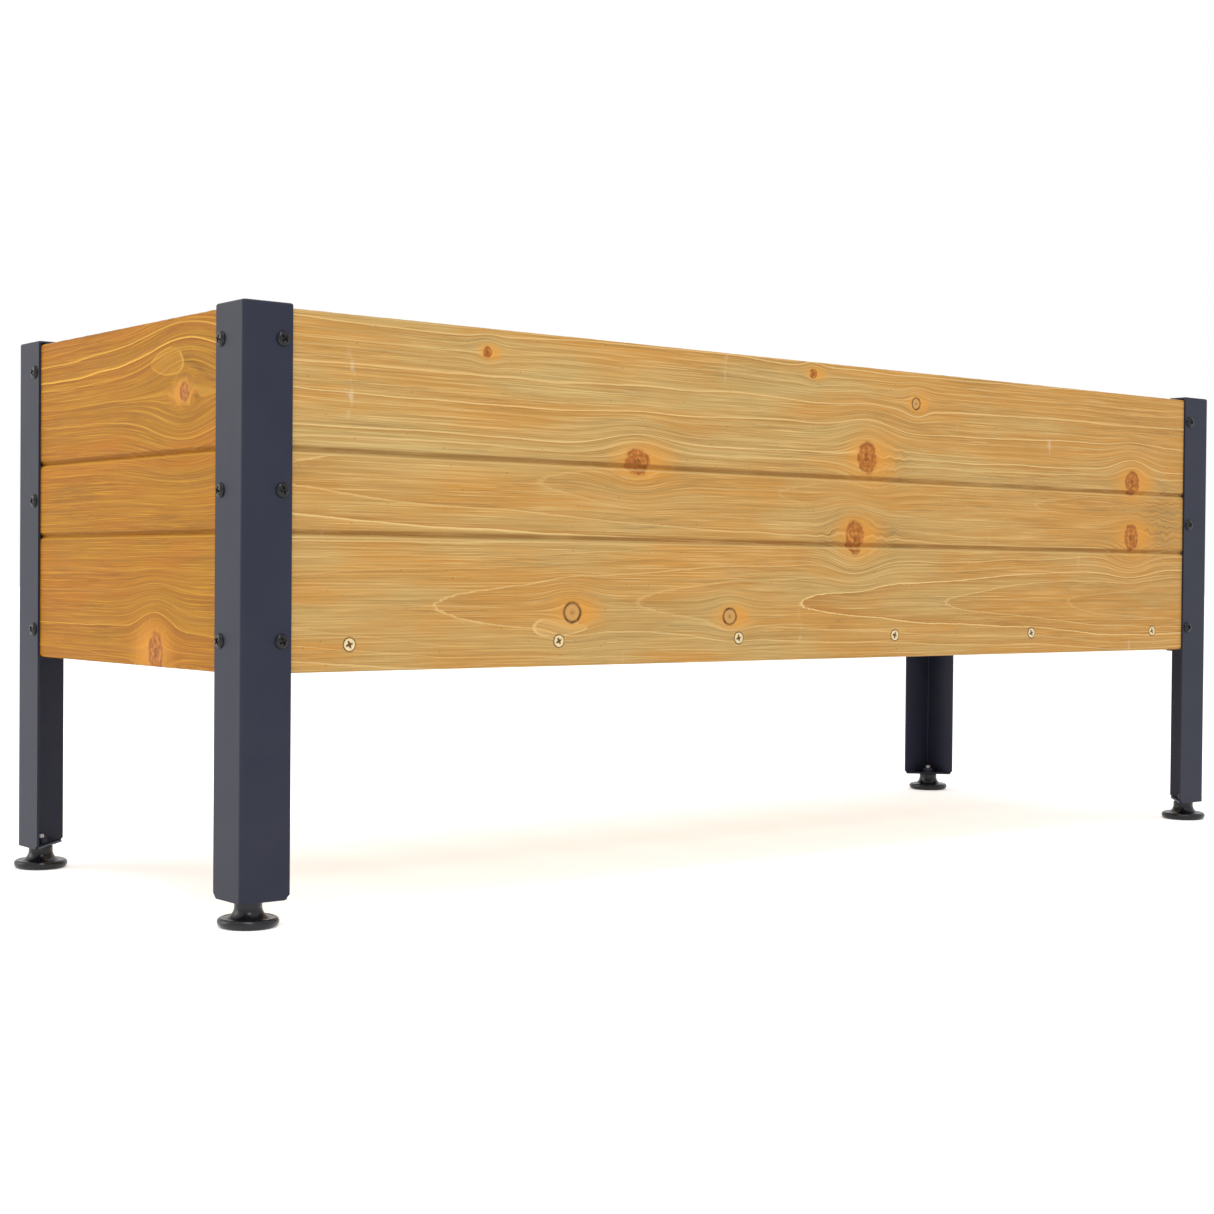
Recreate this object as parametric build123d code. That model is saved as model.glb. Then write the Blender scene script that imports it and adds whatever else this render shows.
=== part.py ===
import math

from build123d import *
import os

# Raised planter on legs. Millimetres. X runs along the planter, the front faces -Y, Z is up and
# the floor is Z = 0. The origin is on the floor, under the middle of the box.

# Overall size, taken over the faces of the legs
LENGTH = 1150.0
WIDTH = 390.0
HEIGHT = 446.0

# Sheet-steel legs
SHEET = 2.0
FLANGE = 40.0
BEND_OUTSIDE = 3.0
BEND_INSIDE = 1.0
CORNER_CLIP = 4.0
TOP_CORNER_R = 2.0
PLATE_SETBACK = 1.0
TOP_BEND = 1.8
MITRE_GAP = 0.4
FOOT_HEIGHT = 18.5

# Side panels: one wide board each, with two V grooves routed along the outside
PANEL_THICKNESS = 18.0
PANEL_HEIGHT = 262.0
PANEL_TOP_GAP = 3.0
PANEL_END_GAP = 1.0
GROOVE_SPREAD = 60.0
GROOVE_HALF_WIDTH = 3.2
GROOVE_DEPTH = 3.2
ARRIS = 3.0

# Floor of the box
BATTEN = 30.0
BATTEN_END_GAP = 2.0
SLAT_WIDTH = 100.0
SLAT_THICKNESS = 15.0
SLAT_COUNT = 10
SLAT_END_GAP = 1.0

# Screws
LEG_SCREW_INSET = 32.0
LEG_SCREW_PITCH = 108.0
PAN_HEAD_R = 5.5
PAN_HEAD_HEIGHT = 2.8
LEG_SCREW_R = 2.2
LEG_SCREW_LENGTH = 17.0
FLAT_HEAD_R = 4.7
FLAT_SCREW_R = 2.0
BATTEN_SCREW_LENGTH = 40.0
BATTEN_SCREW_COUNT = 6
BATTEN_SCREW_PITCH = 194.0
BATTEN_SCREW_HEIGHT = 20.0
SLAT_SCREW_LENGTH = 32.0
PILOT_PLAY = 0.05
FLANGE_HOLE_R = 2.6

# Levelling feet
FOOT_INSET = 14.5
STUD_R = 3.0
STUD_CORE_R = 2.45
STUD_TOP = 28.3
THREAD_PITCH = 1.0
THREAD_START = 18.8
STUD_HEAD_R = 5.7
STUD_HEAD_BOTTOM = 4.4
STUD_HEAD_TOP = 6.7
NUT_ACROSS_FLATS = 10.0
NUT_HEIGHT = 5.0
NUT_PLAY = 0.05
PLATE_HOLE_R = 3.3
FOOT_NECK_R = 10.0
FOOT_TOP = 18.2
FOOT_BORE_R = 3.06
FOOT_POCKET_R = 6.0
FOOT_POCKET_TOP = 7.0
FOOT_RIB_COUNT = 6

# Levels and depths that follow from the sizes above
WOOD_TOP = HEIGHT - PANEL_TOP_GAP
WOOD_BOTTOM = WOOD_TOP - PANEL_HEIGHT
WOOD_MIDDLE = WOOD_BOTTOM + PANEL_HEIGHT / 2
OUTER_X = LENGTH / 2 - SHEET
OUTER_Y = WIDTH / 2 - SHEET
INNER_X = OUTER_X - PANEL_THICKNESS
INNER_Y = OUTER_Y - PANEL_THICKNESS
SCREW_LEVEL = WOOD_BOTTOM + BATTEN_SCREW_HEIGHT
BATTEN_TOP = SCREW_LEVEL + BATTEN / 2
FLOOR_TOP = BATTEN_TOP + SLAT_THICKNESS
LEG_SCREW_LEVELS = [WOOD_MIDDLE - LEG_SCREW_PITCH, WOOD_MIDDLE, WOOD_MIDDLE + LEG_SCREW_PITCH]

CORNERS = {
    "front_left": (-1, -1),
    "front_right": (1, -1),
    "rear_left": (-1, 1),
    "rear_right": (1, 1),
}


def save(name, shape):
    """Write one node."""
    os.makedirs("parts", exist_ok=True)
    export_step(shape, f"parts/{name}.step")


def at_corner(shape, side_x, side_y):
    """Move a shape drawn at a corner (inwards is +X and +Y) to one corner of the planter."""
    if side_x > 0:
        shape = mirror(shape, about=Plane.YZ)
    if side_y > 0:
        shape = mirror(shape, about=Plane.XZ)
    return Pos(side_x * LENGTH / 2, side_y * WIDTH / 2, 0) * shape


def block(x0, x1, y0, y1, z0, z1):
    """A box between two levels on each axis."""
    middle = ((x0 + x1) / 2, (y0 + y1) / 2, (z0 + z1) / 2)
    return Pos(*middle) * Box(x1 - x0, y1 - y0, z1 - z0)


def rod(radius, start, end):
    """A round bar from one point to another."""
    start, end = Vector(*start), Vector(*end)
    along = end - start
    return Plane(origin=start, z_dir=along) * Cylinder(
        radius, along.length, align=(Align.CENTER, Align.CENTER, Align.MIN)
    )


def prism(points, z0, z1):
    """An upright prism over a polygon."""
    face = make_face(Polyline(*points, close=True))
    return Pos(0, 0, z0) * extrude(face, z1 - z0, dir=(0, 0, 1))


def turned(points):
    """A solid of revolution about Z from (radius, height) points."""
    outline = Plane.XZ * Polyline(*points, close=True)
    return revolve(make_face(outline), Axis.Z)


# ---------------------------------------------------------------- legs


def leg_profile():
    """One leg: an L of folded sheet whose two flanges are turned inwards at the top and mitred."""
    arm = SHEET + PANEL_THICKNESS
    return_floor = HEIGHT - SHEET
    angle = [(0, 0), (FLANGE, 0), (FLANGE, SHEET), (SHEET, SHEET), (SHEET, FLANGE), (0, FLANGE)]
    returns = [(0, 0), (FLANGE, 0), (FLANGE, arm), (arm, arm), (arm, FLANGE), (0, FLANGE)]
    leg = prism(angle, FOOT_HEIGHT, return_floor)
    leg = fillet(leg.edges().filter_by(Axis.Z).sort_by_distance((SHEET, SHEET, 0))[0], BEND_INSIDE)
    leg += prism(returns, return_floor, HEIGHT)
    leg = fillet(leg.edges().filter_by(Axis.Z).sort_by_distance((0, 0, 0))[0], BEND_OUTSIDE)
    top = leg.faces().sort_by(Axis.Z)[-1].edges()
    outside = [e for e in top if min(e.center().X, e.center().Y) < BEND_OUTSIDE / 2]
    leg = fillet(outside, TOP_BEND)
    mitre = Pos(arm / 2, arm / 2, HEIGHT) * (Rot(0, 0, 45) * Box(2 * arm, MITRE_GAP, 2 * MITRE_GAP))
    leg -= mitre

    clip, r = CORNER_CLIP, TOP_CORNER_R
    clip_points = [(FLANGE - clip, FOOT_HEIGHT), (FLANGE, FOOT_HEIGHT), (FLANGE, FOOT_HEIGHT + clip)]
    round_points = [(FLANGE + 1, HEIGHT + 1), (FLANGE - r, HEIGHT + 1)]
    for i in range(9):
        angle = math.radians(90 - i * 90 / 8)
        round_points.append((FLANGE - r + r * math.cos(angle), HEIGHT - r + r * math.sin(angle)))
    round_points.append((FLANGE + 1, HEIGHT - r))
    front = Plane((0, 0, 0), x_dir=(1, 0, 0), z_dir=(0, -1, 0))
    end = Plane((0, 0, 0), x_dir=(0, 1, 0), z_dir=(1, 0, 0))
    for flange in (front, end):
        leg -= extrude(flange * make_face(Polyline(*clip_points, close=True)), SHEET, both=True)
        leg -= extrude(flange * make_face(Polyline(*round_points, close=True)), arm + 1, both=True)

    for level in LEG_SCREW_LEVELS:
        leg -= rod(FLANGE_HOLE_R, (LEG_SCREW_INSET, -1, level), (LEG_SCREW_INSET, SHEET + 1, level))
        leg -= rod(FLANGE_HOLE_R, (-1, LEG_SCREW_INSET, level), (SHEET + 1, LEG_SCREW_INSET, level))
    return leg


def foot_plate():
    """The triangular plate welded across the bottom of a leg, drilled for the stud."""
    near, far, bend = SHEET, FLANGE - PLATE_SETBACK, SHEET + BEND_INSIDE
    outline = [(bend, near), (far, near), (near, far), (near, bend)]
    plate = prism(outline, FOOT_HEIGHT, FOOT_HEIGHT + SHEET)
    axis = (FOOT_INSET, FOOT_INSET)
    return plate - rod(PLATE_HOLE_R, (*axis, FOOT_HEIGHT - 1), (*axis, FOOT_HEIGHT + SHEET + 1))


def panel_ledge():
    """The L-shaped ledge welded inside a leg, under the ends of the panels."""
    near, arm, bend = SHEET, SHEET + PANEL_THICKNESS, SHEET + BEND_INSIDE
    outline = [
        (bend, near),
        (FLANGE, near),
        (FLANGE, arm),
        (arm, arm),
        (arm, FLANGE),
        (near, FLANGE),
        (near, bend),
    ]
    return prism(outline, WOOD_BOTTOM - SHEET, WOOD_BOTTOM)


def foot_nut():
    """The hexagon nut welded on a foot plate."""
    base = FOOT_HEIGHT + SHEET
    hexagon = RegularPolygon(NUT_ACROSS_FLATS / 2, 6, major_radius=False)
    nut = Pos(FOOT_INSET, FOOT_INSET, base) * extrude(hexagon, NUT_HEIGHT)
    nut = chamfer(nut.faces().sort_by(Axis.Z)[-1].edges(), 0.5)
    axis = (FOOT_INSET, FOOT_INSET)
    return nut - rod(STUD_R + NUT_PLAY, (*axis, base - 1), (*axis, base + NUT_HEIGHT + 1))


# ---------------------------------------------------------------- side panels


def panel(length):
    """A panel along X with its outer face on Y = 0 and its back on +Y."""
    outline = [(0, WOOD_BOTTOM)]
    for side in (-1, 1):
        groove = WOOD_MIDDLE + side * GROOVE_SPREAD / 2
        outline += [(0, groove - GROOVE_HALF_WIDTH), (GROOVE_DEPTH, groove), (0, groove + GROOVE_HALF_WIDTH)]
    outline += [(0, WOOD_TOP), (PANEL_THICKNESS, WOOD_TOP), (PANEL_THICKNESS, WOOD_BOTTOM)]
    face = Plane.YZ * make_face(Polyline(*outline, close=True))
    board = Pos(-length / 2, 0, 0) * extrude(face, length, dir=(1, 0, 0))
    ends = [board.faces().sort_by(Axis.Z)[-1], board.faces().sort_by(Axis.Z)[0]]
    return fillet([edge for end in ends for edge in end.edges().filter_by(Axis.X)], ARRIS)


def batten_screw_stations():
    """Where the batten screws stand along the planter."""
    half = (BATTEN_SCREW_COUNT - 1) / 2
    return [(i - half) * BATTEN_SCREW_PITCH for i in range(BATTEN_SCREW_COUNT)]


def front_panel():
    """The front panel, in place, with its pilot holes."""
    board = Pos(0, -OUTER_Y, 0) * panel(2 * (OUTER_X - PANEL_END_GAP))
    depth = LEG_SCREW_LENGTH - SHEET + 0.5
    for level in LEG_SCREW_LEVELS:
        for side in (-1, 1):
            x = side * (LENGTH / 2 - LEG_SCREW_INSET)
            start, end = (x, -OUTER_Y - 1, level), (x, -OUTER_Y + depth, level)
            board -= rod(LEG_SCREW_R + PILOT_PLAY, start, end)
    for x in batten_screw_stations():
        board -= batten_screw_hole(x)
    return board


def left_panel():
    """The left-hand end panel, in place between the long panels, with its pilot holes."""
    board = Pos(-OUTER_X, 0, 0) * (Rot(0, 0, -90) * panel(2 * INNER_Y))
    depth = LEG_SCREW_LENGTH - SHEET + 0.5
    for level in LEG_SCREW_LEVELS:
        for side in (-1, 1):
            y = side * (WIDTH / 2 - LEG_SCREW_INSET)
            start, end = (-OUTER_X - 1, y, level), (-OUTER_X + depth, y, level)
            board -= rod(LEG_SCREW_R + PILOT_PLAY, start, end)
    return board


def batten_screw_hole(x):
    """The countersunk hole for one batten screw, through the front panel into the batten."""
    start = (x, -OUTER_Y, SCREW_LEVEL)
    shank = rod(FLAT_SCREW_R + PILOT_PLAY, start, (x, -OUTER_Y + BATTEN_SCREW_LENGTH + 0.5, SCREW_LEVEL))
    return shank + Plane(start, x_dir=(1, 0, 0), z_dir=(0, 1, 0)) * countersink()


def slat_stations():
    """The middles of the floor slats along the planter."""
    gap = (2 * INNER_X - SLAT_COUNT * SLAT_WIDTH) / (SLAT_COUNT + 1)
    first = -INNER_X + gap + SLAT_WIDTH / 2
    return [first + i * (SLAT_WIDTH + gap) for i in range(SLAT_COUNT)]


def slat_screw_hole(x, side):
    """The countersunk hole for one slat screw, down through a slat into a batten."""
    start = (x, side * (INNER_Y - BATTEN / 2), FLOOR_TOP)
    end = (start[0], start[1], FLOOR_TOP - SLAT_SCREW_LENGTH - 0.5)
    cone = Plane(start, x_dir=(1, 0, 0), z_dir=(0, 0, -1)) * countersink()
    return rod(FLAT_SCREW_R + PILOT_PLAY, start, end) + cone


def countersink():
    """The cone that a flat screw head needs, opening at Z = 0 and closing along +Z."""
    wide = FLAT_HEAD_R + PILOT_PLAY
    narrow = FLAT_SCREW_R + PILOT_PLAY
    return turned([(0, -0.1), (wide + 0.1, -0.1), (wide, 0), (narrow, wide - narrow), (0, wide - narrow)])


def batten():
    """The front batten that carries the floor, with its pilot holes."""
    half = INNER_X - BATTEN_END_GAP
    bar = block(-half, half, -INNER_Y, -INNER_Y + BATTEN, BATTEN_TOP - BATTEN, BATTEN_TOP)
    bar = chamfer(bar.edges().filter_by(Axis.X), 1.0)
    for x in batten_screw_stations():
        bar -= batten_screw_hole(x)
    for x in slat_stations():
        bar -= slat_screw_hole(x, -1)
    return bar


def slat(x):
    """One crosswise floor slat."""
    half = SLAT_WIDTH / 2
    reach = INNER_Y - SLAT_END_GAP
    plank = block(x - half, x + half, -reach, reach, BATTEN_TOP, FLOOR_TOP)
    plank = fillet(plank.edges().filter_by(Axis.Y), 1.5)
    for side in (-1, 1):
        plank -= slat_screw_hole(x, side)
    return plank


# ---------------------------------------------------------------- screws


def cross_recess(radius, depth):
    """A tapered cross driven into a screw head at Z = 0, going down."""
    cross = Rectangle(2 * radius, 1.1) + Rectangle(1.1, 2 * radius)
    return extrude(cross, -depth, taper=14)


def pan_head_screw():
    """A pan-head wood screw standing on Z = 0, with its shank going down."""
    r, h, shank, tip = PAN_HEAD_R, PAN_HEAD_HEIGHT, LEG_SCREW_R, LEG_SCREW_LENGTH
    outline = [
        (0, h),
        (r * 0.42, h * 0.98),
        (r * 0.70, h * 0.88),
        (r * 0.88, h * 0.68),
        (r * 0.97, h * 0.42),
        (r, h * 0.18),
        (r, 0),
        (shank, 0),
        (shank, -tip + 2 * shank),
        (0, -tip),
    ]
    return turned(outline) - Pos(0, 0, h) * cross_recess(r * 0.45, h * 0.7)


def flat_head_screw(length):
    """A countersunk wood screw with its flat face on Z = 0, going down."""
    r, shank = FLAT_HEAD_R, FLAT_SCREW_R
    outline = [(0, 0), (r, 0), (shank, shank - r), (shank, -length + 2 * shank), (0, -length)]
    return turned(outline) - cross_recess(r * 0.5, 2.0)


def leg_screws():
    """All the pan-head screws, through the flanges into the panels."""
    screw = pan_head_screw()
    found = []
    for level in LEG_SCREW_LEVELS:
        for side_x, side_y in CORNERS.values():
            x = side_x * (LENGTH / 2 - LEG_SCREW_INSET)
            y = side_y * (WIDTH / 2 - LEG_SCREW_INSET)
            front = Plane((x, side_y * WIDTH / 2, level), x_dir=(1, 0, 0), z_dir=(0, side_y, 0))
            end = Plane((side_x * LENGTH / 2, y, level), x_dir=(0, 1, 0), z_dir=(side_x, 0, 0))
            found += [front * screw, end * screw]
    return Compound(children=found)


def batten_screws():
    """The countersunk screws through the long panels into the battens."""
    screw = flat_head_screw(BATTEN_SCREW_LENGTH)
    found = []
    for side in (-1, 1):
        for x in batten_screw_stations():
            seat = Plane((x, side * OUTER_Y, SCREW_LEVEL), x_dir=(1, 0, 0), z_dir=(0, side, 0))
            found.append(seat * screw)
    return Compound(children=found)


def slat_screws():
    """The countersunk screws through the slats into the battens."""
    screw = flat_head_screw(SLAT_SCREW_LENGTH)
    reach = INNER_Y - BATTEN / 2
    return Compound(
        children=[Pos(x, side * reach, FLOOR_TOP) * screw for x in slat_stations() for side in (-1, 1)]
    )


# ---------------------------------------------------------------- levelling feet


def foot_stud():
    """The threaded stud of a foot: a round head, a plain neck and thread crests above it."""
    outline = [
        (0, STUD_HEAD_BOTTOM),
        (STUD_HEAD_R, STUD_HEAD_BOTTOM),
        (STUD_HEAD_R, STUD_HEAD_TOP),
        (STUD_R, STUD_HEAD_TOP),
    ]
    level = THREAD_START
    while level + THREAD_PITCH < STUD_TOP - 0.4:
        outline += [(STUD_R, level), (STUD_CORE_R, level + THREAD_PITCH * 0.45)]
        outline += [(STUD_CORE_R, level + THREAD_PITCH * 0.55), (STUD_R, level + THREAD_PITCH * 0.9)]
        level += THREAD_PITCH
    outline += [(STUD_R, STUD_TOP - 0.5), (STUD_CORE_R, STUD_TOP), (0, STUD_TOP)]
    return Pos(FOOT_INSET, FOOT_INSET, 0) * turned(outline)


def foot_base():
    """The moulded pedestal: a straight neck that flares into a disc with a rounded rim."""
    outline = [
        (FOOT_BORE_R, FOOT_TOP),
        (FOOT_NECK_R - 0.6, FOOT_TOP),
        (FOOT_NECK_R, FOOT_TOP - 0.6),
        (FOOT_NECK_R, 13.4),
        (10.4, 11.7),
        (11.2, 10.1),
        (12.5, 8.6),
        (14.2, 7.3),
        (16.2, 6.5),
        (17.4, 6.5),
        (18.5, 6.8),
        (19.6, 7.0),
        (20.7, 6.7),
        (21.6, 5.9),
        (22.2, 4.6),
        (22.2, 3.3),
        (21.8, 2.0),
        (20.8, 0.8),
        (19.4, 0),
        (16.8, 0),
        (16.2, 0.6),
        (16.2, 3.6),
        (8.6, 5.0),
        (8.6, 2.4),
        (FOOT_POCKET_R, 2.4),
        (FOOT_POCKET_R, FOOT_POCKET_TOP),
        (FOOT_BORE_R, FOOT_POCKET_TOP),
    ]
    base = turned(outline)
    for i in range(FOOT_RIB_COUNT):
        rib = block(8.3, 16.6, -0.9, 0.9, 1.4, 5.6)
        base += Rot(0, 0, i * 360 / FOOT_RIB_COUNT) * rib
    return Pos(FOOT_INSET, FOOT_INSET, 0) * base


def build():
    leg, plate, ledge, nut = leg_profile(), foot_plate(), panel_ledge(), foot_nut()
    stud, base = foot_stud(), foot_base()
    for corner, sides in CORNERS.items():
        save(f"leg_{corner}", at_corner(leg, *sides))
        save(f"foot_plate_{corner}", at_corner(plate, *sides))
        save(f"panel_ledge_{corner}", at_corner(ledge, *sides))
        save(f"foot_stud_{corner}", at_corner(stud, *sides))
        save(f"foot_base_{corner}", at_corner(base, *sides))
    save("foot_nuts", Compound(children=[at_corner(nut, *sides) for sides in CORNERS.values()]))

    front, left = front_panel(), left_panel()
    save("panel_front", front)
    save("panel_rear", mirror(front, about=Plane.XZ))
    save("panel_left", left)
    save("panel_right", mirror(left, about=Plane.YZ))

    bar = batten()
    save("floor_batten_front", bar)
    save("floor_batten_rear", mirror(bar, about=Plane.XZ))
    for number, x in enumerate(slat_stations(), start=1):
        save(f"floor_slat_{number:02d}", slat(x))

    save("leg_screws", leg_screws())
    save("batten_screws", batten_screws())
    save("slat_screws", slat_screws())


build()
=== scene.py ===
import math
import random

import bmesh
import bpy
from mathutils import Matrix, Vector, noise


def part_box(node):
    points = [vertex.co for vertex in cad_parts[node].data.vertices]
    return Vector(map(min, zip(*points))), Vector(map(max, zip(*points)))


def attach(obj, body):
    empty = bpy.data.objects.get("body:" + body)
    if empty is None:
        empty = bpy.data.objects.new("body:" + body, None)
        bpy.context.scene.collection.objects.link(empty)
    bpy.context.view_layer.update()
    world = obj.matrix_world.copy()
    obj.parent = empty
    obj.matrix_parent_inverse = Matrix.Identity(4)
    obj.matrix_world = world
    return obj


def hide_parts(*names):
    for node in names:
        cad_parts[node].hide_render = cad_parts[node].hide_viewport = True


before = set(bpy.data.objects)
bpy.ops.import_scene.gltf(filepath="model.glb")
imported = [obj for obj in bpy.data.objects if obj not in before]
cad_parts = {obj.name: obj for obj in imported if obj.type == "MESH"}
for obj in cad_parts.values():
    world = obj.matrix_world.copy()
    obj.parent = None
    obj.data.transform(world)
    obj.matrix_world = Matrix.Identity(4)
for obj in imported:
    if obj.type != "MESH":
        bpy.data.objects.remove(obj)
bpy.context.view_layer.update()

MM = 0.001


# ---------------------------------------------------------------- shader graph helper


class Graph:
    """A small writer of node trees. Values may be numbers, tuples or sockets."""

    def __init__(self, name):
        self.material = bpy.data.materials.new(name)
        self.material.use_nodes = True
        self.tree = self.material.node_tree
        self.tree.nodes.clear()
        output = self.tree.nodes.new("ShaderNodeOutputMaterial")
        self.shader = self.tree.nodes.new("ShaderNodeBsdfPrincipled")
        self.tree.links.new(self.shader.outputs[0], output.inputs[0])

    def node(self, kind, inputs=(), **settings):
        made = self.tree.nodes.new(kind)
        for key, value in settings.items():
            setattr(made, key, value)
        for key, value in dict(inputs).items():
            self.put(made.inputs[key], value)
        return made

    def put(self, socket, value):
        if isinstance(value, bpy.types.NodeSocket):
            self.tree.links.new(value, socket)
        else:
            socket.default_value = value

    def surface(self, **values):
        for key, value in values.items():
            self.put(self.shader.inputs[key.replace("_", " ")], value)

    def math(self, operation, a, b=0.0, c=0.0):
        inputs = {0: a, 1: b, 2: c}
        return self.node("ShaderNodeMath", inputs, operation=operation).outputs[0]

    def add(self, *terms):
        total = terms[0]
        for term in terms[1:]:
            total = self.math("ADD", total, term)
        return total

    def mul(self, a, b):
        return self.math("MULTIPLY", a, b)

    def muladd(self, a, b, c):
        return self.math("MULTIPLY_ADD", a, b, c)

    def sub(self, a, b):
        return self.math("SUBTRACT", a, b)

    def vector(self, x=0.0, y=0.0, z=0.0):
        return self.node("ShaderNodeCombineXYZ", {0: x, 1: y, 2: z}).outputs[0]

    def split(self, vector):
        return self.node("ShaderNodeSeparateXYZ", {0: vector}).outputs

    def place(self):
        """The position on the object, in millimetres."""
        coordinates = self.node("ShaderNodeTexCoord").outputs["Object"]
        scaled = self.node(
            "ShaderNodeVectorMath", {0: coordinates, 3: 1 / MM}, operation="SCALE"
        )
        return scaled.outputs[0]

    def noise(self, vector, scale=1.0, detail=2.0, roughness=0.5, centred=False):
        inputs = {"Vector": vector, "Scale": scale, "Detail": detail, "Roughness": roughness}
        value = self.node("ShaderNodeTexNoise", inputs).outputs[0]
        return self.sub(value, 0.5) if centred else value

    def between(self, value, low, high, to_low=0.0, to_high=1.0):
        """A smooth step from to_low to to_high as the value goes from low to high."""
        inputs = {0: value, 1: low, 2: high, 3: to_low, 4: to_high}
        made = self.node("ShaderNodeMapRange", inputs, interpolation_type="SMOOTHSTEP")
        return made.outputs[0]

    def ramp(self, value, *stops):
        made = self.node("ShaderNodeValToRGB", {0: value})
        elements = made.color_ramp.elements
        while len(elements) < len(stops):
            elements.new(0.5)
        for element, (position, grey) in zip(elements, stops):
            element.position = position
            element.color = (grey, grey, grey, 1.0)
        return made.outputs[0]

    def mix(self, factor, a, b):
        made = self.node("ShaderNodeMix", data_type="RGBA", blend_type="MIX")
        for socket, value in ((made.inputs[0], factor), (made.inputs[6], a), (made.inputs[7], b)):
            if isinstance(value, tuple):
                value = (*value[:3], 1.0)
            self.put(socket, value)
        return made.outputs[2]

    def bump(self, height, strength, distance):
        inputs = {"Height": height, "Strength": strength, "Distance": distance}
        return self.node("ShaderNodeBump", inputs).outputs[0]


def assign(name, material):
    """Give a CAD node one material in all its slots."""
    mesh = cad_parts[name].data
    mesh.materials.clear()
    mesh.materials.append(material)


# ---------------------------------------------------------------- wood

# columns of a strip
PITH_LEVEL, PITH_DEPTH, TAPER, RING, LINES, WARMTH = range(1, 7)
# kinds of knot
RED_HEART, RINGED, LOOP = 0, 1, 2
# larger than any distance from a knot, in its own radii
FAR = 9.0


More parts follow.
